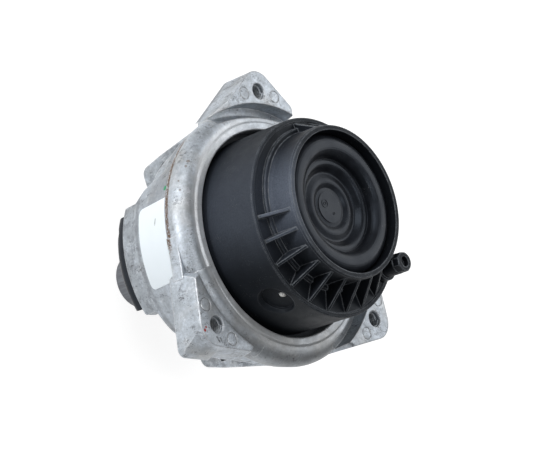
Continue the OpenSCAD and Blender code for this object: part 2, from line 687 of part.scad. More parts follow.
module lower_housing() color(plastic) difference() {
    tip_z = end_z + nozzle_h;
    port_floor = housing_r - port_depth;
    ball_at = port_floor - ball_r + 0.4;
    union() {
        difference() {
            housing_shell();
            disc(sleeve_r - 0.5 + slip, joint_z - through, joint_z + plate_rim_t);
            disc(cavity_r, joint_z, floor_z);
        }
        cup_ring();
        for (i = [0:fin_places - 1]) if (i != fin_gap_place) fin(fin_start + i * fin_pitch);
        nozzle();
        translate(cup_centre)
            band(bead_seat_r, bead_seat_r + bead_wall, floor_z - bead_d - clamp_ring_h, floor_z + 0.5);
        intersection() {
            translate(nozzle_pos) disc(duct_boss_r, air_z - 6, floor_z + 0.5);
            disc(housing_r - 1, 0, end_z);
        }
        radial(nozzle_angle, air_z) disc(stub_r, nozzle_reach - duct_boss_r - stub_l, nozzle_reach);
        intersection() {
            radial(port_angle, port_z) disc(port_r + 1.5, port_floor - 2 * ball_r - 1, housing_r);
            disc(housing_r - 1, ring_seat_z, floor_z + 1);
        }
    }
    translate(cup_centre) disc(cup_bore_r, floor_z - through, rim_z + through);
    translate(cup_centre) disc(bead_seat_r, floor_z - bead_d - clamp_ring_h - through, floor_z);
    translate(nozzle_pos) {
        disc(duct_r, air_z, tip_z + through);
        disc(duct_r + 0.9, tip_z - 3, tip_z + through);
    }
    radial(nozzle_angle, air_z)
        disc(duct_r - 0.4, nozzle_reach - duct_boss_r - stub_l - through, nozzle_reach);
    radial(port_angle, port_z) {
        disc(port_r - 1.5, port_floor, housing_r + through);
        translate([0, 0, housing_r - 2]) cylinder(r1 = port_r - 1.5, r2 = port_r + 0.6, h = 2.6);
    }
    radial(port_angle, port_z + ball_shift) {
        translate([0, 0, ball_at]) sphere(ball_r);
        disc(ball_r - 0.3, ball_at, housing_r);
        disc(ball_r - 1, port_floor - 2 * ball_r - 3, ball_at);
    }
}

module fill_ball() color("#eeeeea") radial(port_angle, port_z + ball_shift)
    translate([0, 0, housing_r - port_depth - ball_r + 0.4]) sphere(ball_r);

/* Diaphragm */

module diaphragm() color(rubber) translate(cup_centre) {
    leg_r = cup_bore_r - 1.3;
    crest_z = rim_z - 2.5 - diaphragm_t / 2;
    disc_z = crest_z - 8.6;
    bead_z = floor_z - bead_d;
    disc_r = 8;
    middle = rounded_path([[leg_r, bead_z + 1.2, 0], [leg_r, crest_z, 4.4], [25.2, crest_z, 4.2],
        [24, crest_z - 5.6, 1.2], [20.9, crest_z - 4.9, 2.5], [17.6, crest_z - 8.9, 2.2],
        [12.8, crest_z - 7.4, 3], [9.8, crest_z - 9, 1.5], [disc_r - 0.4, disc_z, 1], [0, disc_z, 0]]);
    rotate_extrude() polygon(thickened(middle, diaphragm_t));
    rotate_extrude() polygon([[leg_r - diaphragm_t / 2, bead_z + 0.6], [bead_seat_r - 3.4, bead_z + 0.6],
        [bead_seat_r - 3, bead_z], [bead_seat_r - slip, bead_z], [bead_seat_r - slip, floor_z],
        [cup_bore_r + 0.4, floor_z], [leg_r + diaphragm_t / 2 + 0.1, bead_z + 2.4],
        [leg_r - diaphragm_t / 2, bead_z + 2.4]]);
    disc(disc_r, disc_z, disc_z + diaphragm_t / 2 + 0.3);
}

module diaphragm_ring() color("#3a3d40") translate(cup_centre)
    band(bead_seat_r - 3.6, bead_seat_r - slip, floor_z - bead_d - clamp_ring_h, floor_z - bead_d);

/* Label */

module label() color("#f4f6f7") intersection() {
    front_z = seam_z - 0.6;
    rear_r = cage_r(label_rear_z);
    rotate_extrude() polygon([[rear_r, label_rear_z], [rear_r + label_t, label_rear_z],
        [cage_r(front_z) + label_t, front_z], [cage_r(front_z), front_z]]);
    side_prism(-ring_r, -cage_bore_r / 2, rounded([[label_up_y, label_rear_z, 3],
        [label_up_y, front_z + through, 0], [-label_down_y, front_z + through, 0],
        [-label_down_y, label_rear_z, 3]]));
}

ring_bracket();
stop_cage();
core();
main_spring();
spring_sleeve();
stop_buffer_left();
stop_buffer_right();
rebound_pad();
upper_nozzle_plate();
lower_nozzle_plate();
decoupler_membrane();
idle_valve_membrane();
idle_valve_cup();
idle_valve_spring();
air_tube();
lower_housing();
diaphragm();
diaphragm_ring();
fill_ball();
label();
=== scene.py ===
"""Shows the engine mount with its real finishes: dull die-cast aluminium, moulded black plastic and rubber."""

from math import cos, pi, radians, sin

import bpy
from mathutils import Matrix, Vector


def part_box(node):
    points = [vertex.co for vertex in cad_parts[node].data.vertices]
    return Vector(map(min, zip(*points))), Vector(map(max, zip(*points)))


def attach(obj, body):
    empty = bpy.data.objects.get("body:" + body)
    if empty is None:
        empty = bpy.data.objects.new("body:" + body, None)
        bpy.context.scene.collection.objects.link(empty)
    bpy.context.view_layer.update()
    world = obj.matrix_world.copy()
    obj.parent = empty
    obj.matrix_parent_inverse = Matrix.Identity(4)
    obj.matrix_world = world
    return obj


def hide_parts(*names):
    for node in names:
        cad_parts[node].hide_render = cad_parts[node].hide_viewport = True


bl_info = {
    "name": "Engine Mount Look",
    "version": (1, 0, 0),
    "blender": (4, 5, 0),
    "location": "View3D > Sidebar > Engine Mount",
    "description": "Dresses the engine mount's solids and sets its stage",
    "category": "Object",
}

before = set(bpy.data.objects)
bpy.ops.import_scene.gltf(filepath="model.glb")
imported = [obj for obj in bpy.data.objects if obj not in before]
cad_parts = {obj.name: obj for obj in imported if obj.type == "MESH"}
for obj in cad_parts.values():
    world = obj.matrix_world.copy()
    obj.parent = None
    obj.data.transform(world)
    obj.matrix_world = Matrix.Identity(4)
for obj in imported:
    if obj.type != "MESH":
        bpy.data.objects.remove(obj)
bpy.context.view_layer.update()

MM = 0.001
TINY = 0.001 * MM


# Places and forms of the modelled pieces. Heights run along the mount's axis, up from the bolt pads

SEAM = 66.5 * MM

LUG_FACE = 81 * MM
LUG_HOLE_CIRCLE = 72.9 * MM
LUG_DIRECTIONS = (90, 220.2, 323.6)
LUG_THREAD_ENDS = (66.2 * MM, LUG_FACE - 0.3 * MM)
LUG_THREAD_DEPTH = 0.62 * MM

PAD_HOLE_CIRCLE = 26.7 * MM
PAD_DIRECTIONS = (11.9, 191.9)
PAD_THREAD_ENDS = (0.6 * MM, 19.5 * MM)
PAD_THREAD_DEPTH = 0.78 * MM

# Heights on one tooth of a thread, as shares of the pitch
CREST_START, CREST_END, TOOTH_END = 0.40, 0.54, 0.94
THREAD_STEPS = 32

# The relief behind the left lug: a shelf with a round edge, turned through a span and sunk towards one end
RELIEF_FLOOR, RELIEF_TOP = 72.2 * MM, 79.28 * MM
RELIEF_BACK, RELIEF_FRONT = 55 * MM, 65.9 * MM
ROUND_FROM_AXIS, ROUND_HEIGHT, ROUND_RADIUS = 59 * MM, 72.3 * MM, 6.98 * MM
QUARTER_TURN = range(0, 91, 9)
RELIEF_SPAN, RELIEF_STEPS = 49.6, 40
RELIEF_END, RELIEF_TILT = 248.6, 1.0

# The web beside the left lug, seen from above, in millimetres
WEB_CORNERS = ((-65.9, -2.5), (-65.55, -8), (-65.25, -14), (-65.3, -23.4), (-60, -23.4), (-60, -2.5))
WEB_FOOT = SEAM + 0.05 * MM
WEB_HEIGHT, WEB_RISE = 2 * MM, 4.6 * MM

# The small rings on the diaphragm: name, centre, inner and outer radius, in millimetres
MARKS = (
    ("mark_outer", (-3.6, 5.2), 1.85, 2.15),
    ("mark_inner", (-3.6, 5.2), 0.7, 1.0),
    ("mark_small", (2.0, 0.5), 0.5, 0.8),
)
MARK_FOOT, MARK_TOP, MARK_DRAFT = 114.0, 114.42, 0.08
MARK_STEPS = 48

# The valve spring's whole turns, and the half turn that its two ends share
SPRING_TURNS, SPRING_ENDS = 4, 0.5
SPRING_STEPS, SPRING_WIRE_SIDES = 40, 10


# The stage

FLOOR_SIZE = 6
LAMP_TARGET = Vector((0, 0, 65 * MM))

# Lamps: name, place, size and power
LAMPS = (
    ("key_lamp", (-0.62, 0.64, 0.70), 0.7, 4.9),
    ("low_lamp", (-1.03, 0.34, 0.10), 0.28, 6.0),
    ("top_lamp", (-0.20, -0.16, 1.05), 0.36, 1.9),
    ("right_lamp", (0.78, 0.28, 0.78), 0.9, 5.1),
)
WORLD_LIGHT, WORLD_SEEN = 0.2, 1.0
FLOOR_GLOW = 0.88

# The camera: its focal length is given in pixels of a picture as wide as the photograph
CAMERA_PLACE = (-0.71779, -0.20242, 0.72225)
CAMERA_TURN = (0.37281, -0.78799, -0.22897)
SENSOR_WIDTH, NEAREST = 36, 0.05
PHOTO_WIDTH, FOCAL_PIXELS = 540, 2000


# Where stains, painted shade and painted highlights begin and end on the mount, in millimetres: sides along X,
# depths along Y and heights along Z

REAR_HEIGHT = (66, 30)
# The lip's rubbed wear grows brighter towards its left side, where it is a painted highlight
LIP_RADIUS, LIP_HEIGHT, LIP_HIGHLIGHT_SIDE = (60.2, 58.4), (77.6, 78.4), (-4, -34)
# A darker brownish tone on the ring's lowest side, just above the seam
UNDER_DEPTH, UNDER_RADIUS, UNDER_HEIGHT = (-34, -58), (68, 65.8), (66.4, 67)
LOW_WALL_HEIGHT = (43, 38)
# A dark band along the cage's shoulder: painted shade
FOLD_HEIGHT, FOLD_REACH = 40.2, (2.0, 0.6)
# Painted shadow on the cage under the ring's overhang
SHADE_DEPTH, SHADE_HEIGHT, SHADE_TOP = (15, 24), (44, 60), (66.6, 66.4)
TOP_WALL_DEPTH, TOP_WALL_SIDE = (60, 66), (-7, -12)
OFF_RING_RADIUS, OFF_RING_HEIGHT = (61, 66), (67, 64)
RUST_ABOVE_SEAM, RUST_REACH = 0.9, (2.4, 1.0)
RUST_SIDE, RUST_DEPTH = (-38, -48), (-14, -4)
# A painted grey sheen on the plastic's lit side, strongest on the cup
SHEEN_START, SHEEN_END, SHEEN_SIDE = (-32, 2), (50, 8), (-18, -46)
CUP_STEP = (109.5, 112)
# How strong the painted edge highlight is on the plastic: weaker low on the housing
HIGHLIGHT_HEIGHT = (102, 107)

# Dabs: X, Y, Z and radius. Strokes: both ends and the width
RUST_DABS = (
    (-54.05, 33.57, 77.25, 1.1),
    (-55.8, 31.03, 76.99, 0.9),
    (-61.51, 19.17, 76.41, 0.7),
    (-60.53, 23.96, 75.39, 0.6),
)
RED_DABS = ((-64.21, -49.8, 81.0, 0.9), (-63.24, -48.37, 81.0, 0.7))
GREEN_DABS = ((-59.47, 23.61, 64.68, 1.5),)
CAST_STROKES = (
    ((-57.1, -53.1, 81.0), (-55.7, -55.3, 81.0), 0.6),
    ((-54.8, -53.6, 81.0), (-53.9, -55.7, 81.0), 0.6),
)
LABEL_SCUFF = ((-61.9, 10.0, 57.6), (-62.3, 7.4, 56.8), 0.7)


# Sizes and colours


def length(name, description, value):
    """A length setting with its default."""
    return bpy.props.FloatProperty(name=name, description=description, default=value, unit="LENGTH")


def colour(name, description, value):
    """A colour setting with its default."""
    return bpy.props.FloatVectorProperty(
        name=name, description=description, default=value, subtype="COLOR", min=0, max=1
    )


class MountSizes(bpy.types.PropertyGroup):
    """Sizes of the pieces that are modelled here"""

    lug_thread_radius: length("Lug thread", "Radius of the lug threads at the root", 4.02 * MM)
    lug_thread_pitch: length("Lug thread pitch", "Rise of the lug threads in one turn", 1.25 * MM)
    pad_thread_radius: length("Pad thread", "Radius of the pad threads at the root", 5.02 * MM)
    pad_thread_pitch: length("Pad thread pitch", "Rise of the pad threads in one turn", 1.5 * MM)
    edge_radius: length("Cast edge", "Radius of the softened cast edges", 1.1 * MM)
    moulded_edge_radius: length("Moulded edge", "Radius of the softened plastic edges", 0.8 * MM)
    spring_wire: length("Spring wire", "Radius of the valve spring's wire", 0.9 * MM)


class MountColours(bpy.types.PropertyGroup):
    """Colours of the finishes"""

    alloy: colour("Cast alloy", "Clean die-cast aluminium", (0.53, 0.58, 0.64))
    alloy_stain: colour("Alloy stain", "Tarnish on the castings", (0.30, 0.325, 0.35))
    # Dirty patches low down; also the colour of the painted shade along the shoulder and under the ring
    dark_stain_and_shade: colour("Dark stain and shade", "Dirty patches low on the castings", (0.17, 0.18, 0.195))
    warm_stain: colour("Warm stain", "Faint brownish bloom on the castings", (0.50, 0.47, 0.42))
    # Darker brownish tone on the ring's lowest side
    lower_ring_tone: colour("Lower ring tone", "Dirt on the ring's lowest part", (0.185, 0.18, 0.17))
    frost: colour("Frost", "Pale bloom on the castings", (0.74, 0.77, 0.80))
    # Rubbed lip; also the painted highlight on the castings' edges and on the lip's left side
    rubbed_alloy_and_highlight: colour("Rubbed alloy and highlight", "Bright rubbed edges and lip of the castings", (0.86, 0.88, 0.90))
    # Dirt specks; also the colour of the painted shade in the corners of the castings and the core
    grime: colour("Grime", "Dirt specks on the castings", (0.06, 0.06, 0.065))
    rust: colour("Rust", "Rust dots along the seam", (0.125, 0.075, 0.045))
    core_alloy: colour("Core alloy", "Extruded aluminium of the core", (0.13, 0.135, 0.15))
    plastic: colour("Black plastic", "Glass-filled black plastic", (0.0065, 0.0078, 0.0105))
    inner_plastic: colour("Inner plastic", "Dark grey inner plastic", (0.045, 0.047, 0.052))
    # The painted highlight on the plastic's edges
    plastic_edge_highlight: colour("Plastic edge highlight", "Pale rubbed edges of the plastic", (0.18, 0.195, 0.215))
    plastic_dust: colour("Plastic dust", "Dust specks on the plastic", (0.30, 0.31, 0.31))
    rubber: colour("Rubber", "Black rubber", (0.0065, 0.0075, 0.0098))
    rubber_dust: colour("Rubber dust", "Dust specks on the rubber", (0.28, 0.28, 0.27))
    rubber_grime: colour("Rubber grime", "Dust in the corners of the rubber", (0.05, 0.05, 0.048))
    steel: colour("Steel", "Phosphated steel", (0.32, 0.32, 0.315))
    label: colour("Label", "Blank label film", (0.83, 0.90, 0.95))
    label_scuff: colour("Label scuff", "Small scuff on the label", (0.25, 0.27, 0.25))
    ball: colour("Fill ball", "White sealing ball", (0.95, 0.95, 0.92))
    green_paint: colour("Green mark", "Dab of green paint", (0.02, 0.30, 0.13))
    red_paint: colour("Red mark", "Dots of red paint", (0.35, 0.02, 0.02))
    floor: colour("Floor", "Pale floor", (0.86, 0.86, 0.86))
    floor_seen: colour("Seen floor", "Pale floor where the camera sees it", (0.34, 0.34, 0.34))


def settings():
    """The sizes and the colours, as they are set now."""
    return bpy.context.scene.mount_sizes, bpy.context.scene.mount_colours


# Modelling


def edit_mode():
    """Opens the active piece for editing."""
    bpy.ops.object.mode_set(mode="EDIT")


def object_mode():
    """Closes the piece again."""
    bpy.ops.object.mode_set(mode="OBJECT")


def deselect():
    """Leaves edit mode with nothing selected."""
    if bpy.context.object and bpy.context.object.mode != "OBJECT":
        object_mode()
    bpy.ops.object.select_all(action="DESELECT")


def pick(piece):
    """Selects one piece alone and makes it active."""
    deselect()
    piece.select_set(True)
    bpy.context.view_layer.objects.active = piece


def face_outwards():
    """Turns all faces of the piece in edit mode outwards."""
    bpy.ops.mesh.select_all(action="SELECT")
    bpy.ops.mesh.normals_make_consistent(inside=False)


def outline(name, points):
    """A new piece that starts as a profile's closed line, drawn by extruding a vertex from point to point."""
    deselect()
    bpy.ops.mesh.primitive_plane_add(size=MM, location=(0, 0, 0))
    piece = bpy.context.object
    piece.name = piece.data.name = name
    edit_mode()
    bpy.ops.mesh.select_all(action="SELECT")
    bpy.ops.mesh.merge(type="CENTER")
    bpy.ops.transform.translate(value=points[0])
    for start, end in zip(points, points[1:]):
        step = Vector(end) - Vector(start)
        bpy.ops.mesh.extrude_region_move(TRANSFORM_OT_translate={"value": step})
    object_mode()
    ends = (Vector(points[0]), Vector(points[-1]))
    for vertex in piece.data.vertices:
        vertex.select = min((vertex.co - end).length for end in ends) < TINY
    edit_mode()
    bpy.ops.mesh.edge_face_add()
    object_mode()
    return piece


def spin_up(piece, steps, turns=1, rise=0.0, centre=(0, 0, 0)):
    """Turns a profile about the Z axis into a closed body, or a coil where it rises, and moves it in place."""
    screw = piece.modifiers.new("Spin", "SCREW")
    screw.axis = "Z"
    screw.angle = 2 * pi
    screw.screw_offset = rise
    screw.iterations = turns
    screw.steps = screw.render_steps = steps
    screw.use_merge_vertices = rise == 0
    screw.merge_threshold = TINY
    bpy.ops.object.modifier_apply(modifier=screw.name)
    edit_mode()
    bpy.ops.mesh.select_all(action="SELECT")
    bpy.ops.mesh.remove_doubles(threshold=2 * TINY)
    bpy.ops.mesh.fill_holes(sides=0)
    face_outwards()
    bpy.ops.transform.translate(value=centre)
    object_mode()


def spin_part(piece, span, steps):
    """Turns a closed profile about the Z axis through a span in degrees, up to zero, and fills both ends."""
    pick(piece)
    edit_mode()
    bpy.ops.mesh.select_all(action="SELECT")
    bpy.ops.mesh.edge_face_add()
    bpy.ops.mesh.spin(steps=steps, angle=-radians(span), center=(0, 0, 0), axis=(0, 0, 1))
    face_outwards()
    bpy.ops.transform.rotate(value=radians(span), orient_axis="Z", center_override=(0, 0, 0))
    object_mode()


def finish_piece(piece, material, replaces=(), angle=35):
    """Gives a new piece its material and shading and lets it ride on the mount."""
    pick(piece)
    bpy.ops.object.shade_smooth_by_angle(angle=radians(angle))
    piece.data.materials.clear()
    piece.data.materials.append(material)
    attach(piece, "root")
    if replaces:
        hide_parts(*replaces)


def dress(nodes, material):
    """Puts one material on some of the frame's nodes."""
    for name in nodes:
        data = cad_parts[name].data
        data.materials.clear()
        data.materials.append(material)


def worn_by(name):
    """The material that a node of the frame wears."""
    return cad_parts[name].data.materials[0]


def polar(direction, radius):
    """A point at a direction in degrees and a distance from the mount's axis."""
    return Vector((radius * cos(radians(direction)), radius * sin(radians(direction)), 0))


# Shader nodes


def add(tree, kind, values=None, **choices):
    """A new node with input values by name or number, and its own choices by attribute."""
    made = tree.nodes.new(kind)
    for key, value in choices.items():
        setattr(made, key, value)
    for key, value in (values or {}).items():
        if isinstance(value, bpy.types.NodeSocket):
            tree.links.new(value, made.inputs[key])
        else:
            made.inputs[key].default_value = value
    return made


def connect(tree, made, values):
    """Links values to a node's inputs by name."""
    for name, value in values.items():
        tree.links.new(value, made.inputs[name])


def rgba(value):
    """A colour with full alpha."""
    return (*value, 1.0)


def scaled(tone, factor, lift=0.0):
    """A colour made lighter or darker by a factor, and lifted evenly."""
    return [lift + value * factor for value in tone]


def object_point(tree):
    """A point's place on the mount."""
    return add(tree, "ShaderNodeTexCoord").outputs["Object"]


def stretched(tree, point, scale):
    """A point whose pattern is drawn out along some axes."""
    return add(tree, "ShaderNodeMapping", {0: point, "Scale": scale}).outputs[0]


def noise(tree, point, scale, detail=3.0, roughness=0.55):
    """A cloudy value from about 0.3 to 0.7."""
    values = {"Vector": point, "Scale": scale, "Detail": detail, "Roughness": roughness}
    return add(tree, "ShaderNodeTexNoise", values).outputs["Fac"]


def ramp(tree, value, limits, to=(0.0, 1.0)):
    """Maps a value between two limits to two others, smoothly. It falls where the first limit is higher."""
    values = {"Value": value, "From Min": limits[0], "From Max": limits[1], "To Min": to[0], "To Max": to[1]}
    return add(tree, "ShaderNodeMapRange", values, interpolation_type="SMOOTHSTEP").outputs["Result"]


def over(tree, value, limits, to=(0.0, 1.0)):
    """A ramp between two places in millimetres."""
    return ramp(tree, value, [limit * MM for limit in limits], to)


def patches(tree, point, scale, limits, detail=3.0, roughness=0.55, to=(0.0, 1.0)):
    """Cloudy patches: noise between two limits."""
    return ramp(tree, noise(tree, point, scale, detail, roughness), limits, to)


def calculate(tree, kind, a, b=0.0):
    """A sum, product or other result of two values."""
    return add(tree, "ShaderNodeMath", {0: a, 1: b}, operation=kind).outputs[0]


def product(tree, first, *others):
    """Values multiplied together."""
    for other in others:
        first = calculate(tree, "MULTIPLY", first, other)
    return first


def vector_maths(tree, kind, *values):
    """A vector operation. It gives a value for a length, distance or dot product, and otherwise a vector."""
    made = add(tree, "ShaderNodeVectorMath", dict(enumerate(values)), operation=kind)
    return made.outputs["Value" if kind in ("LENGTH", "DISTANCE", "DOT_PRODUCT") else "Vector"]


def coordinates(tree, point):
    """How far a point lies along X, Y and Z."""
    place = add(tree, "ShaderNodeSeparateXYZ", {0: point}).outputs
    return place["X"], place["Y"], place["Z"]


def from_axis(tree, point):
    """How far a point lies from the mount's axis."""
    return vector_maths(tree, "LENGTH", vector_maths(tree, "MULTIPLY", point, (1, 1, 0)))


def blend_colour(tree, share, a, b):
    """A colour between two others."""
    made = add(tree, "ShaderNodeMix", {"Factor": share}, data_type="RGBA")
    for key, value in ((6, a), (7, b)):
        if isinstance(value, bpy.types.NodeSocket):
            tree.links.new(value, made.inputs[key])
        else:
            made.inputs[key].default_value = rgba(value)
    return made.outputs[2]


def stain(tree, tone, mask, paint, strength=None):
    """A tone with a paint laid over it where a mask says, thinned by a strength."""
    share = mask if strength is None else calculate(tree, "MULTIPLY", mask, strength)
    return blend_colour(tree, share, tone, paint)


def bump(tree, height, distance, normal=None, strength=1.0):
    """A normal with a height pressed into it."""
    values = {"Height": height, "Distance": distance, "Strength": strength}
    if normal is not None:
        values["Normal"] = normal
    return add(tree, "ShaderNodeBump", values).outputs["Normal"]


# Shared effects

SOFT_SAMPLES = 6
STILL_FLAT = 0.999


def start_group(name, inputs, outputs):
    """An empty node group with named sockets, or the one that is already there."""
    group = bpy.data.node_groups.get(name)
    if group:
        return group, None, None
    group = bpy.data.node_groups.new(name, "ShaderNodeTree")
    for label, kind, default in inputs:
        group.interface.new_socket(name=label, in_out="INPUT", socket_type=kind).default_value = default
    for label, kind in outputs:
        group.interface.new_socket(name=label, in_out="OUTPUT", socket_type=kind)
    return group, group.nodes.new("NodeGroupInput").outputs, group.nodes.new("NodeGroupOutput")


def place_group(tree, group, values):
    """A node group with its own values, set in a material."""
    made = add(tree, "ShaderNodeGroup", node_tree=group)
    for name, value in values.items():
        made.inputs[name].default_value = value
    return made.outputs


def edge_highlight_group():
    """Soft edge normals, and a mask of the edges for a painted highlight where rounded edges would catch the
    light.
    """
    inputs = [
        ("Radius", "NodeSocketFloat", 0.5 * MM),
        ("Breakup", "NodeSocketFloat", 900.0),
        ("Full At", "NodeSocketFloat", 0.90),
    ]
    outputs = [("Mask", "NodeSocketFloat"), ("Normal", "NodeSocketVector")]
    group, given, sink = start_group("Edge Highlight", inputs, outputs)
    if given:
        soft = add(group, "ShaderNodeBevel", {"Radius": given["Radius"]}, samples=SOFT_SAMPLES).outputs[0]
        flat = add(group, "ShaderNodeNewGeometry").outputs["Normal"]
        alike = vector_maths(group, "DOT_PRODUCT", soft, flat)
        bend = ramp(group, alike, (STILL_FLAT, given["Full At"]))
        patchy = patches(group, object_point(group), given["Breakup"], limits=(0.35, 0.6), to=(0.45, 1.0))
        connect(group, sink, {"Mask": product(group, bend, patchy), "Normal": soft})
    return group


def speck_group():
    """Small scattered specks, from single dots to loose clusters."""
    inputs = [
        ("Size", "NodeSocketFloat", 1100.0),
        ("Amount", "NodeSocketFloat", 0.3),
        ("Stretch", "NodeSocketVector", (1, 1, 1)),
    ]
    group, given, sink = start_group("Specks", inputs, [("Mask", "NodeSocketFloat")])
    if given:
        drawn = vector_maths(group, "MULTIPLY", object_point(group), given["Stretch"])
        fine = noise(group, drawn, given["Size"], detail=4.0, roughness=0.7)
        loose = noise(group, object_point(group), scale=110.0, detail=2.0)
        rare = calculate(group, "SUBTRACT", 0.86, product(group, given["Amount"], loose))
        above = calculate(group, "SUBTRACT", fine, rare)
        connect(group, sink, {"Mask": ramp(group, above, (0.0, 0.06))})
    return group


def crevice_group():
    """A mask of corners and grooves from ambient occlusion, made uneven: painted shade on the metal, and dust
    on the rubber.
    """
    inputs = [("Distance", "NodeSocketFloat", 3 * MM)]
    group, given, sink = start_group("Crevice", inputs, [("Mask", "NodeSocketFloat")])
    if given:
        values = {"Distance": given["Distance"]}
        shade = add(group, "ShaderNodeAmbientOcclusion", values, samples=SOFT_SAMPLES).outputs["AO"]
        uneven = patches(group, object_point(group), scale=420.0, limits=(0.3, 0.7), to=(0.35, 1.0))
        depth = ramp(group, shade, (0.75, 0.25))
        connect(group, sink, {"Mask": product(group, depth, uneven)})
    return group


def dab_group():
    """One ragged dab at a place."""
    inputs = [("Place", "NodeSocketVector", (0, 0, 0)), ("Radius", "NodeSocketFloat", MM)]
    group, given, sink = start_group("Dab", inputs, [("Mask", "NodeSocketFloat")])
    if given:
        point = object_point(group)
        away = vector_maths(group, "DISTANCE", point, given["Place"])
        share = calculate(group, "DIVIDE", away, given["Radius"])
        ragged = calculate(group, "ADD", share, product(group, noise(group, point, scale=1300.0), 0.9))
        connect(group, sink, {"Mask": ramp(group, ragged, (1.35, 1.2))})
    return group


def streak_group():
    """One thin streak from a place to another."""
    inputs = [
        ("From", "NodeSocketVector", (0, 0, 0)),
        ("Along", "NodeSocketVector", (1, 0, 0)),
        ("Width", "NodeSocketFloat", 0.3 * MM),
    ]
    group, given, sink = start_group("Streak", inputs, [("Mask", "NodeSocketFloat")])
    if given:
        along = given["Along"]
        offset = vector_maths(group, "SUBTRACT", object_point(group), given["From"])
        reach = vector_maths(group, "DOT_PRODUCT", offset, along)
        share = calculate(group, "DIVIDE", reach, vector_maths(group, "DOT_PRODUCT", along, along))
        share = calculate(group, "MAXIMUM", calculate(group, "MINIMUM", share, 1.0), 0.0)
        values = {0: along, "Scale": share}
        nearest = add(group, "ShaderNodeVectorMath", values, operation="SCALE").outputs[0]
        away = calculate(group, "DIVIDE", vector_maths(group, "DISTANCE", offset, nearest), given["Width"])
        worn = patches(group, object_point(group), scale=900.0, limits=(0.3, 0.6), to=(0.4, 1.0))
        connect(group, sink, {"Mask": product(group, ramp(group, away, (1.0, 0.4)), worn)})
    return group


def grain_group():
    """Height of a fine moulded grain over a slight waviness."""
    inputs = [("Fine", "NodeSocketFloat", 5200.0), ("Wave", "NodeSocketFloat", 160.0)]
    group, given, sink = start_group("Grain", inputs, [("Height", "NodeSocketFloat")])
    if given:
        point = object_point(group)
        fine = noise(group, point, given["Fine"], detail=2.0)
        wave = noise(group, point, given["Wave"], detail=2.0)
        connect(group, sink, {"Height": calculate(group, "ADD", fine, product(group, wave, 1.5))})
    return group


def edge_highlights(tree, radius, breakup=900.0, full_at=0.90):
    """The mask of the painted edge highlight, and the soft normal of the edges."""
    values = {"Radius": radius, "Breakup": breakup, "Full At": full_at}
    return place_group(tree, edge_highlight_group(), values)


def specks(tree, size, amount, stretch=(1.0, 1.0, 1.0)):
    """The mask of scattered specks."""
    values = {"Size": size, "Amount": amount, "Stretch": stretch}
    return place_group(tree, speck_group(), values)["Mask"]


def crevices(tree, distance):
    """The mask of corners and grooves."""
    return place_group(tree, crevice_group(), {"Distance": distance})["Mask"]


def grain(tree, fine, wave):
    """The height of a fine grain."""
    return place_group(tree, grain_group(), {"Fine": fine, "Wave": wave})["Height"]


def dab(tree, x, y, z, radius):
    """The mask of a dab at a place, in millimetres."""
    values = {"Place": Vector((x, y, z)) * MM, "Radius": radius * MM}
    return place_group(tree, dab_group(), values)["Mask"]


def stroke(tree, start, end, width):
    """The mask of a streak between two places, in millimetres."""
    start, end = Vector(start) * MM, Vector(end) * MM
    values = {"From": start, "Along": end - start, "Width": width * MM}
    return place_group(tree, streak_group(), values)["Mask"]


# Materials


def start_material(name, values):
    """A material with a Principled shader and its plain values."""
    made = bpy.data.materials.new(name)
    made.use_nodes = True
    tree = made.node_tree
    shader = tree.nodes["Principled BSDF"]
    for key, value in values.items():
        shader.inputs[key].default_value = value
    return made, tree, shader


def clear_nodes(owner):
    """The emptied node tree of a material or a world."""
    owner.use_nodes = True
    owner.node_tree.nodes.clear()
    return owner.node_tree


def casting_skin(tree, point, look):
    """What covers the castings all over: tarnish, mottling, frost, dirt specks and painted shade in the
    corners.
    """
    tarnish = patches(tree, point, scale=75.0, limits=(0.40, 0.66), detail=6.0, roughness=0.7)
    tone = stain(tree, look.alloy, tarnish, look.alloy_stain, strength=0.75)
    warm = patches(tree, point, scale=48.0, limits=(0.48, 0.68), detail=4.0, roughness=0.6)
    tone = stain(tree, tone, warm, look.warm_stain, strength=0.35)
    mottle = patches(tree, point, scale=650.0, limits=(0.36, 0.64), detail=5.0, roughness=0.75)
    tone = stain(tree, tone, mottle, look.alloy_stain, strength=0.55)
    frost = patches(tree, point, scale=310.0, limits=(0.56, 0.70), detail=5.0, roughness=0.75)
    tone = stain(tree, tone, frost, look.frost, strength=0.5)
    streaks = specks(tree, size=420.0, amount=0.50, stretch=(1.0, 1.0, 0.45))
    tone = stain(tree, tone, streaks, look.grime, strength=0.4)
    tone = stain(tree, tone, specks(tree, size=1250.0, amount=0.47), look.grime, strength=0.8)
    # Painted shade in corners, grooves and holes
    return stain(tree, tone, crevices(tree, 3 * MM), look.grime, strength=0.85)


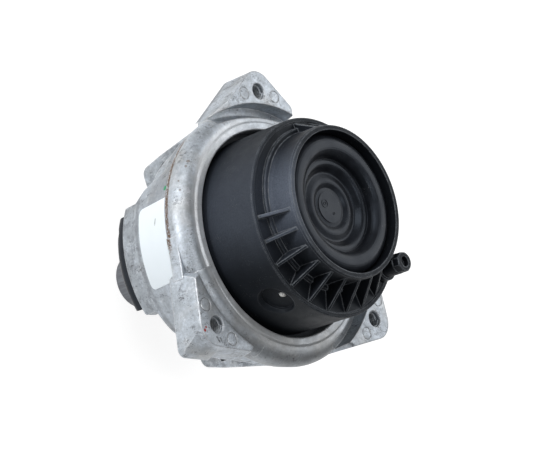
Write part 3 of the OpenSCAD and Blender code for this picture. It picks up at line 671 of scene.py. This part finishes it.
def casting_stains(tree, point, place, tone, look):
    """What the castings have in places: a dull rear, a rubbed lip with a painted highlight on its left side, a
    darker tone on the ring's lowest side, dirt low down, and painted shade along the shoulder and under the
    ring near the seam.
    """
    side, depth, height, radius = place

    cloudy = patches(tree, point, scale=130.0, limits=(0.4, 0.6), detail=5.0, roughness=0.7)
    rear = product(tree, over(tree, height, REAR_HEIGHT), cloudy)
    tone = stain(tree, tone, rear, look.alloy_stain, strength=0.55)

    # The rubbed lip, with a painted highlight that grows towards the left side
    lip = product(tree, over(tree, radius, LIP_RADIUS), over(tree, height, LIP_HEIGHT))
    lip = product(tree, lip, over(tree, side, LIP_HIGHLIGHT_SIDE, to=(0.1, 0.5)))
    tone = stain(tree, tone, lip, look.rubbed_alloy_and_highlight)

    # A darker brownish tone on the ring's lowest side, just above the seam
    under = product(tree, over(tree, depth, UNDER_DEPTH), over(tree, radius, UNDER_RADIUS))
    under = product(tree, under, over(tree, height, UNDER_HEIGHT, to=(0.0, 0.45)))
    tone = stain(tree, tone, under, look.lower_ring_tone)

    dirty = patches(tree, point, scale=230.0, limits=(0.50, 0.58), detail=6.0, roughness=0.75)
    low_wall = product(tree, over(tree, height, LOW_WALL_HEIGHT), dirty)
    tone = stain(tree, tone, low_wall, look.dark_stain_and_shade, strength=0.5)

    # Painted shade in an uneven band along the shoulder
    from_fold = calculate(tree, "ABSOLUTE", calculate(tree, "SUBTRACT", height, FOLD_HEIGHT * MM))
    uneven = patches(tree, point, scale=90.0, limits=(0.3, 0.6), to=(0.4, 1.0))
    fold_shade = product(tree, over(tree, from_fold, FOLD_REACH), uneven)
    tone = stain(tree, tone, fold_shade, look.dark_stain_and_shade, strength=0.45)

    # Painted shadow on the cage under the ring's overhang
    shade = product(tree, over(tree, depth, SHADE_DEPTH), over(tree, height, SHADE_HEIGHT))
    shade = product(tree, shade, over(tree, height, SHADE_TOP))
    return stain(tree, tone, shade, look.dark_stain_and_shade, strength=0.5)


def casting_scuffs(tree, point, place, tone, look):
    """Dark scuffs here and there on the castings, and rust dots in a band along the seam."""
    side, depth, height, radius = place

    drawn = stretched(tree, point, (1, 1, 0.4))
    scuffs = patches(tree, drawn, scale=270.0, limits=(0.57, 0.63), detail=6.0, roughness=0.8)
    spread = patches(tree, point, scale=42.0, limits=(0.44, 0.54), detail=2.0)
    top_wall = product(tree, over(tree, depth, TOP_WALL_DEPTH), over(tree, side, TOP_WALL_SIDE))
    spread = calculate(tree, "MAXIMUM", spread, top_wall)
    outer, lower = over(tree, radius, OFF_RING_RADIUS), over(tree, height, OFF_RING_HEIGHT)
    off_ring = calculate(tree, "MAXIMUM", outer, lower)
    tone = stain(tree, tone, product(tree, scuffs, spread, off_ring), look.grime, strength=0.7)

    above_seam = calculate(tree, "SUBTRACT", height, SEAM + RUST_ABOVE_SEAM * MM)
    band = over(tree, calculate(tree, "ABSOLUTE", above_seam), RUST_REACH)
    dots = patches(tree, point, scale=1000.0, limits=(0.42, 0.50), detail=4.0, roughness=0.75)
    where = product(tree, over(tree, side, RUST_SIDE), over(tree, depth, RUST_DEPTH))
    return stain(tree, tone, product(tree, band, dots, where), look.rust)


def casting_marks(tree, tone, look):
    """Single marks on the castings: dabs of rust and paint, and two cast strokes."""
    paints = (
        (RUST_DABS, look.rust, 0.6),
        (RED_DABS, look.red_paint, 0.9),
        (GREEN_DABS, look.green_paint, 0.95),
    )
    for dabs, paint, strength in paints:
        for row in dabs:
            tone = stain(tree, tone, dab(tree, *row), paint, strength)
    for row in CAST_STROKES:
        tone = stain(tree, tone, stroke(tree, *row), look.grime, strength=0.85)
    return tone


def cast_alloy(look, sizes):
    """Dull die-cast aluminium with its stains and marks, and with a painted highlight on its edges."""
    made, tree, shader = start_material("Cast alloy", {"Metallic": 0.70, "Roughness": 0.5})
    point = object_point(tree)
    place = (*coordinates(tree, point), from_axis(tree, point))
    tone = casting_skin(tree, point, look)
    tone = casting_stains(tree, point, place, tone, look)
    tone = casting_scuffs(tree, point, place, tone, look)
    tone = casting_marks(tree, tone, look)
    edge = edge_highlights(tree, sizes.edge_radius, breakup=500.0)
    # Painted highlight on the cast edges
    tone = stain(tree, tone, edge["Mask"], look.rubbed_alloy_and_highlight, strength=0.7)
    dull = patches(tree, point, scale=240.0, limits=(0.3, 0.7), detail=4.0, to=(0.44, 0.58))
    rough = calculate(tree, "SUBTRACT", dull, product(tree, edge["Mask"], 0.12))
    skin = grain(tree, fine=1400.0, wave=130.0)
    normal = bump(tree, skin, 0.06 * MM, edge["Normal"], strength=0.7)
    connect(tree, shader, {"Base Color": tone, "Roughness": rough, "Normal": normal})
    return made


def core_alloy(look):
    """Sawn and machined aluminium of the core."""
    made, tree, shader = start_material("Core alloy", {"Metallic": 0.75, "Roughness": 0.4})
    lines = noise(tree, stretched(tree, object_point(tree), (1, 1, 0.06)), scale=900.0, detail=2.0)
    pale = ramp(tree, lines, (0.3, 0.8), to=(0.0, 0.5))
    tone = blend_colour(tree, pale, look.core_alloy, look.alloy_stain)
    # Painted shade in the core's corners and grooves
    tone = stain(tree, tone, crevices(tree, 4 * MM), look.grime, strength=0.7)
    rough = ramp(tree, lines, (0.3, 0.7), to=(0.34, 0.5))
    normal = bump(tree, lines, 0.02 * MM, edge_highlights(tree, 0.4 * MM)["Normal"])
    connect(tree, shader, {"Base Color": tone, "Roughness": rough, "Normal": normal})
    return made


def moulded_plastic(name, plain, look, sizes, roughness=0.52):
    """Glass-filled plastic with a fine grain, a painted grey sheen on the lit side, a painted highlight on its
    edges and some dust.
    """
    values = {"Roughness": roughness, "Specular IOR Level": 0.19, "Specular Tint": (0.80, 0.90, 1.0, 1.0)}
    made, tree, shader = start_material(name, values)
    point = object_point(tree)
    side, depth, height = coordinates(tree, point)
    cloudy = patches(tree, point, scale=60.0, limits=(0.35, 0.7))
    tone = blend_colour(tree, cloudy, plain, scaled(plain, 1.5))

    # Painted sheen, held in the bloom mask below: a lighter grey tone on the lit side, strongest on the cup
    bloom = product(tree, over(tree, depth, SHEEN_START), over(tree, depth, SHEEN_END))
    bloom = product(tree, bloom, over(tree, side, SHEEN_SIDE))
    on_cup = over(tree, height, CUP_STEP, to=(0.30, 1.0))
    thin = patches(tree, point, scale=1500.0, limits=(0.3, 0.7), detail=5.0, roughness=0.8, to=(0.55, 1.15))
    tone = stain(tree, tone, product(tree, bloom, on_cup, thin), scaled(plain, 14, lift=0.016))

    # Painted highlight on the edges, with a strength that is weaker low on the housing
    edge = edge_highlights(tree, sizes.moulded_edge_radius, breakup=260.0, full_at=0.965)
    rubbed = over(tree, height, HIGHLIGHT_HEIGHT, to=(0.12, 0.9))
    tone = stain(tree, tone, edge["Mask"], look.plastic_edge_highlight, strength=rubbed)
    dust = specks(tree, size=1900.0, amount=0.36)
    tone = stain(tree, tone, dust, look.plastic_dust, strength=0.5)
    smoother, rougher = roughness - 0.05, roughness + 0.07
    rough = patches(tree, point, scale=150.0, limits=(0.3, 0.7), detail=2.0, to=(smoother, rougher))
    skin = grain(tree, fine=3800.0, wave=90.0)
    normal = bump(tree, skin, 0.05 * MM, edge["Normal"], strength=0.8)
    connect(tree, shader, {"Base Color": tone, "Roughness": rough, "Normal": normal})
    return made


def black_rubber(look):
    """Moulded rubber with a soft sheen and dust."""
    values = {"Roughness": 0.38, "Specular IOR Level": 0.27, "Specular Tint": (0.70, 0.82, 1.0, 1.0)}
    made, tree, shader = start_material("Black rubber", values)
    bloom = patches(tree, object_point(tree), scale=140.0, limits=(0.35, 0.75), detail=4.0)
    tone = blend_colour(tree, bloom, look.rubber, scaled(look.rubber, 1.9))
    dust = specks(tree, size=2100.0, amount=0.36)
    tone = stain(tree, tone, dust, look.rubber_dust, strength=0.5)
    tone = stain(tree, tone, crevices(tree, 1.5 * MM), look.rubber_grime, strength=0.3)
    rough = ramp(tree, bloom, (0.0, 1.0), to=(0.32, 0.44))
    normal = bump(tree, grain(tree, fine=2600.0, wave=200.0), 0.02 * MM)
    connect(tree, shader, {"Base Color": tone, "Roughness": rough, "Normal": normal})
    return made


def phosphated_steel(look):
    """Grey steel with a crystalline phosphate bloom."""
    made, tree, shader = start_material("Phosphated steel", {"Metallic": 0.85, "Roughness": 0.45})
    values = {"Vector": object_point(tree), "Scale": 900.0}
    crystals = add(tree, "ShaderNodeTexVoronoi", values).outputs["Distance"]
    tone = blend_colour(tree, ramp(tree, crystals, (0.1, 0.7)), look.steel, scaled(look.steel, 0.55))
    rough = ramp(tree, crystals, (0.1, 0.8), to=(0.36, 0.55))
    connect(tree, shader, {"Base Color": tone, "Roughness": rough})
    return made


def label_film(look):
    """Blank white film with faint creases and one small scuff."""
    made, tree, shader = start_material("Label film", {"Roughness": 0.38, "Specular IOR Level": 0.4})
    point = object_point(tree)
    fade = patches(tree, point, scale=45.0, limits=(0.3, 0.7), detail=2.0)
    tone = blend_colour(tree, fade, look.label, scaled(look.label, 0.97))
    tone = stain(tree, tone, stroke(tree, *LABEL_SCUFF), look.label_scuff, strength=0.75)
    creases = noise(tree, point, scale=120.0, detail=2.0)
    connect(tree, shader, {"Base Color": tone, "Normal": bump(tree, creases, 0.08 * MM)})
    return made


def white_ball(look):
    """Smooth white plastic with a faint cast-in cloudiness."""
    made, tree, shader = start_material("White ball", {"Roughness": 0.25})
    cloud = noise(tree, object_point(tree), scale=300.0, detail=2.0)
    tone = blend_colour(tree, cloud, look.ball, scaled(look.ball, 0.9))
    connect(tree, shader, {"Base Color": tone})
    return made


def pale_floor(look):
    """A pale floor that shows white to the camera and keeps the mount's shadow."""
    made = bpy.data.materials.new("Pale floor")
    tree = clear_nodes(made)
    path = add(tree, "ShaderNodeLightPath").outputs
    mirrored = calculate(tree, "MAXIMUM", path["Is Glossy Ray"], path["Is Transmission Ray"])
    seen = calculate(tree, "MAXIMUM", path["Is Camera Ray"], mirrored)
    plain = add(tree, "ShaderNodeBsdfDiffuse", {"Color": rgba(look.floor)})
    shaded = add(tree, "ShaderNodeBsdfDiffuse", {"Color": rgba(look.floor_seen)})
    glow = add(tree, "ShaderNodeEmission", {"Color": (1, 1, 1, 1), "Strength": FLOOR_GLOW})
    lit = add(tree, "ShaderNodeAddShader", {0: shaded.outputs[0], 1: glow.outputs[0]})
    mixed = add(tree, "ShaderNodeMixShader", {0: seen, 1: plain.outputs[0], 2: lit.outputs[0]})
    add(tree, "ShaderNodeOutputMaterial", {"Surface": mixed.outputs[0]})
    return made


def soft_studio():
    """A world that gives a weak even light and shows white to the camera."""
    world = bpy.data.worlds.new("Soft studio")
    tree = clear_nodes(world)
    path = add(tree, "ShaderNodeLightPath").outputs
    seen = calculate(tree, "MAXIMUM", path["Is Camera Ray"], path["Is Transmission Ray"])
    strength = ramp(tree, seen, (0.0, 1.0), (WORLD_LIGHT, WORLD_SEEN))
    light = add(tree, "ShaderNodeBackground", {"Color": (1, 1, 1, 1), "Strength": strength})
    add(tree, "ShaderNodeOutputWorld", {"Surface": light.outputs[0]})
    return world


# Pieces


def thread(name, centre, ends, root, pitch, depth, material):
    """A right-handed internal thread: one tooth that climbs the wall of a hole."""
    low, high = ends
    crest = root - depth
    corners = ((root, 0), (crest, CREST_START), (crest, CREST_END), (root, TOOTH_END))
    piece = outline(name, [(radius, 0, share * pitch) for radius, share in corners])
    turns = int((high - low) / pitch) - 1
    spin_up(piece, THREAD_STEPS, turns, pitch, centre + Vector((0, 0, low)))
    finish_piece(piece, material)


class DressCastings(bpy.types.Operator):
    """Gives the ring bracket, the stop cage and the core their metal finishes"""

    bl_idname = "mount.dress_castings"
    bl_label = "Castings"

    def execute(self, context):
        sizes, look = settings()
        dress(("ring_bracket", "stop_cage"), cast_alloy(look, sizes))
        dress(("core",), core_alloy(look))
        return {"FINISHED"}


class CloseGroove(bpy.types.Operator):
    """Makes the relief behind the left lug shallow, and ends it where the lug's tail hides it"""

    bl_idname = "mount.close_groove"
    bl_label = "Left lug relief"

    def execute(self, context):
        profile = [(RELIEF_BACK, 0, RELIEF_FLOOR), (RELIEF_FRONT, 0, RELIEF_FLOOR)]
        for turn in QUARTER_TURN:
            out, up = ROUND_RADIUS * cos(radians(turn)), ROUND_RADIUS * sin(radians(turn))
            profile.append((ROUND_FROM_AXIS + out, 0, ROUND_HEIGHT + up))
        piece = outline("lug_relief", [*profile, (RELIEF_BACK, 0, RELIEF_TOP)])
        spin_part(piece, RELIEF_SPAN, RELIEF_STEPS)
        edit_mode()
        tilt, turn = radians(RELIEF_TILT), -radians(RELIEF_END)
        bpy.ops.transform.rotate(value=tilt, orient_axis="X", center_override=(0, 0, RELIEF_TOP))
        bpy.ops.transform.rotate(value=turn, orient_axis="Z", center_override=(0, 0, 0))
        object_mode()
        finish_piece(piece, worn_by("ring_bracket"))
        return {"FINISHED"}


class AddLugWeb(bpy.types.Operator):
    """Fills the corner between the ring's wall and the left lug with a low sloping web"""

    bl_idname = "mount.add_lug_web"
    bl_label = "Left lug web"

    def execute(self, context):
        piece = outline("lug_web", [(x * MM, y * MM, WEB_FOOT) for x, y in WEB_CORNERS])
        edit_mode()
        bpy.ops.mesh.select_all(action="SELECT")
        bpy.ops.mesh.edge_face_add()
        bpy.ops.mesh.extrude_region_move(TRANSFORM_OT_translate={"value": (0, 0, WEB_HEIGHT)})
        object_mode()
        inner_side = (max(x for x, y in WEB_CORNERS) - 1) * MM
        for vertex in piece.data.vertices:
            vertex.select = vertex.co.x > inner_side and vertex.co.z > WEB_FOOT + WEB_HEIGHT / 2
        edit_mode()
        bpy.ops.transform.translate(value=(0, 0, WEB_RISE))
        face_outwards()
        object_mode()
        finish_piece(piece, worn_by("ring_bracket"))
        return {"FINISHED"}


class CutThreads(bpy.types.Operator):
    """Cuts the threads in the lug holes and in the core's bolt pads"""

    bl_idname = "mount.cut_threads"
    bl_label = "Threads"

    def execute(self, context):
        sizes = settings()[0]
        cast, core = worn_by("ring_bracket"), worn_by("core")
        radius, pitch = sizes.lug_thread_radius, sizes.lug_thread_pitch
        for number, direction in enumerate(LUG_DIRECTIONS, 1):
            centre = polar(direction, LUG_HOLE_CIRCLE)
            name = f"lug_thread_{number}"
            thread(name, centre, LUG_THREAD_ENDS, radius, pitch, LUG_THREAD_DEPTH, cast)
        radius, pitch = sizes.pad_thread_radius, sizes.pad_thread_pitch
        for number, direction in enumerate(PAD_DIRECTIONS, 1):
            centre = polar(direction, PAD_HOLE_CIRCLE)
            name = f"pad_thread_{number}"
            thread(name, centre, PAD_THREAD_ENDS, radius, pitch, PAD_THREAD_DEPTH, core)
        return {"FINISHED"}


class DressPlastic(bpy.types.Operator):
    """Gives the housing, the inner plastic pieces, the ball and the label their finishes"""

    bl_idname = "mount.dress_plastic"
    bl_label = "Plastic"

    def execute(self, context):
        sizes, look = settings()
        dress(("lower_housing",), moulded_plastic("Black plastic", look.plastic, look, sizes))
        inner = ("upper_nozzle_plate", "lower_nozzle_plate", "idle_valve_cup", "diaphragm_ring")
        dress(inner, moulded_plastic("Inner plastic", look.inner_plastic, look, sizes, 0.5))
        dress(("fill_ball",), white_ball(look))
        dress(("label",), label_film(look))
        return {"FINISHED"}


class DressRubber(bpy.types.Operator):
    """Gives the main spring, buffers and membranes their rubber"""

    bl_idname = "mount.dress_rubber"
    bl_label = "Rubber"

    def execute(self, context):
        look = settings()[1]
        buffers = ("stop_buffer_left", "stop_buffer_right", "rebound_pad")
        membranes = ("decoupler_membrane", "idle_valve_membrane", "diaphragm")
        dress(("main_spring", *buffers, *membranes, "air_tube"), black_rubber(look))
        return {"FINISHED"}


class RaiseMarks(bpy.types.Operator):
    """Raises the small moulded rings on the diaphragm's middle"""

    bl_idname = "mount.raise_marks"
    bl_label = "Moulded marks"

    def execute(self, context):
        rubber = worn_by("diaphragm")
        for name, (x, y), inner, outer in MARKS:
            foot = ((inner, MARK_FOOT), (outer, MARK_FOOT))
            top = ((outer - MARK_DRAFT, MARK_TOP), (inner + MARK_DRAFT, MARK_TOP))
            piece = outline(name, [(radius * MM, 0, height * MM) for radius, height in foot + top])
            spin_up(piece, MARK_STEPS, centre=(x * MM, y * MM, 0))
            finish_piece(piece, rubber, angle=60)
        return {"FINISHED"}


class DressSteel(bpy.types.Operator):
    """Gives the sleeve its steel finish and winds the valve spring from round wire"""

    bl_idname = "mount.dress_steel"
    bl_label = "Steel"

    def execute(self, context):
        sizes, look = settings()
        steel = phosphated_steel(look)
        dress(("spring_sleeve", "idle_valve_spring"), steel)
        low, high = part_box("idle_valve_spring")
        wire = sizes.spring_wire
        coil = high.x - wire
        rise = (high.z - low.z - 2 * wire) / (SPRING_TURNS + SPRING_ENDS)
        turns = [2 * pi * side / SPRING_WIRE_SIDES for side in range(SPRING_WIRE_SIDES)]
        corners = [(coil + wire * cos(turn), 0, wire * sin(turn)) for turn in turns]
        piece = outline("valve_spring_wire", corners)
        spin_up(piece, SPRING_STEPS, SPRING_TURNS, rise, (0, 0, low.z + wire))
        finish_piece(piece, steel, ("idle_valve_spring",), angle=60)
        return {"FINISHED"}


class SetStage(bpy.types.Operator):
    """Lays the floor and sets lamps, world and camera"""

    bl_idname = "mount.set_stage"
    bl_label = "Stage"

    def execute(self, context):
        scene = context.scene
        deselect()
        bpy.ops.mesh.primitive_plane_add(size=FLOOR_SIZE, location=(0, 0, 0))
        floor = context.object
        floor.name = floor.data.name = "pale_floor"
        floor.data.materials.append(pale_floor(settings()[1]))

        for name, place, size, power in LAMPS:
            bpy.ops.object.light_add(type="AREA", location=place)
            lamp = context.object
            lamp.name = name
            lamp.data.size = size
            lamp.data.energy = power
            lamp.rotation_euler = (Vector(place) - LAMP_TARGET).to_track_quat("Z", "Y").to_euler()
        scene.world = soft_studio()

        bpy.ops.object.camera_add(location=CAMERA_PLACE)
        camera = context.object
        camera.name = "photo_camera"
        camera.rotation_euler = CAMERA_TURN
        camera.data.sensor_width = SENSOR_WIDTH
        camera.data.lens = SENSOR_WIDTH * FOCAL_PIXELS / PHOTO_WIDTH
        camera.data.clip_start = NEAREST
        scene.camera = camera
        scene.view_settings.view_transform = "Standard"
        return {"FINISHED"}


STEPS = (
    DressCastings,
    CloseGroove,
    AddLugWeb,
    CutThreads,
    DressPlastic,
    DressRubber,
    RaiseMarks,
    DressSteel,
    SetStage,
)


class MountPanel(bpy.types.Panel):
    """Lists the steps that dress the engine mount, and their settings"""

    bl_idname = "VIEW3D_PT_engine_mount"
    bl_label = "Engine Mount"
    bl_space_type = "VIEW_3D"
    bl_region_type = "UI"
    bl_category = "Engine Mount"

    def draw(self, context):
        for step in STEPS:
            self.layout.operator(step.bl_idname)
        for group in (context.scene.mount_sizes, context.scene.mount_colours):
            for name in group.__annotations__:
                self.layout.prop(group, name)


CLASSES = (MountSizes, MountColours, *STEPS, MountPanel)


def register():
    for item in CLASSES:
        bpy.utils.register_class(item)
    bpy.types.Scene.mount_sizes = bpy.props.PointerProperty(type=MountSizes)
    bpy.types.Scene.mount_colours = bpy.props.PointerProperty(type=MountColours)


def unregister():
    del bpy.types.Scene.mount_sizes
    del bpy.types.Scene.mount_colours
    for item in reversed(CLASSES):
        bpy.utils.unregister_class(item)


def main():
    register()
    for step in STEPS:
        area, name = step.bl_idname.split(".")
        getattr(getattr(bpy.ops, area), name)()


if __name__ == "__main__":
    main()
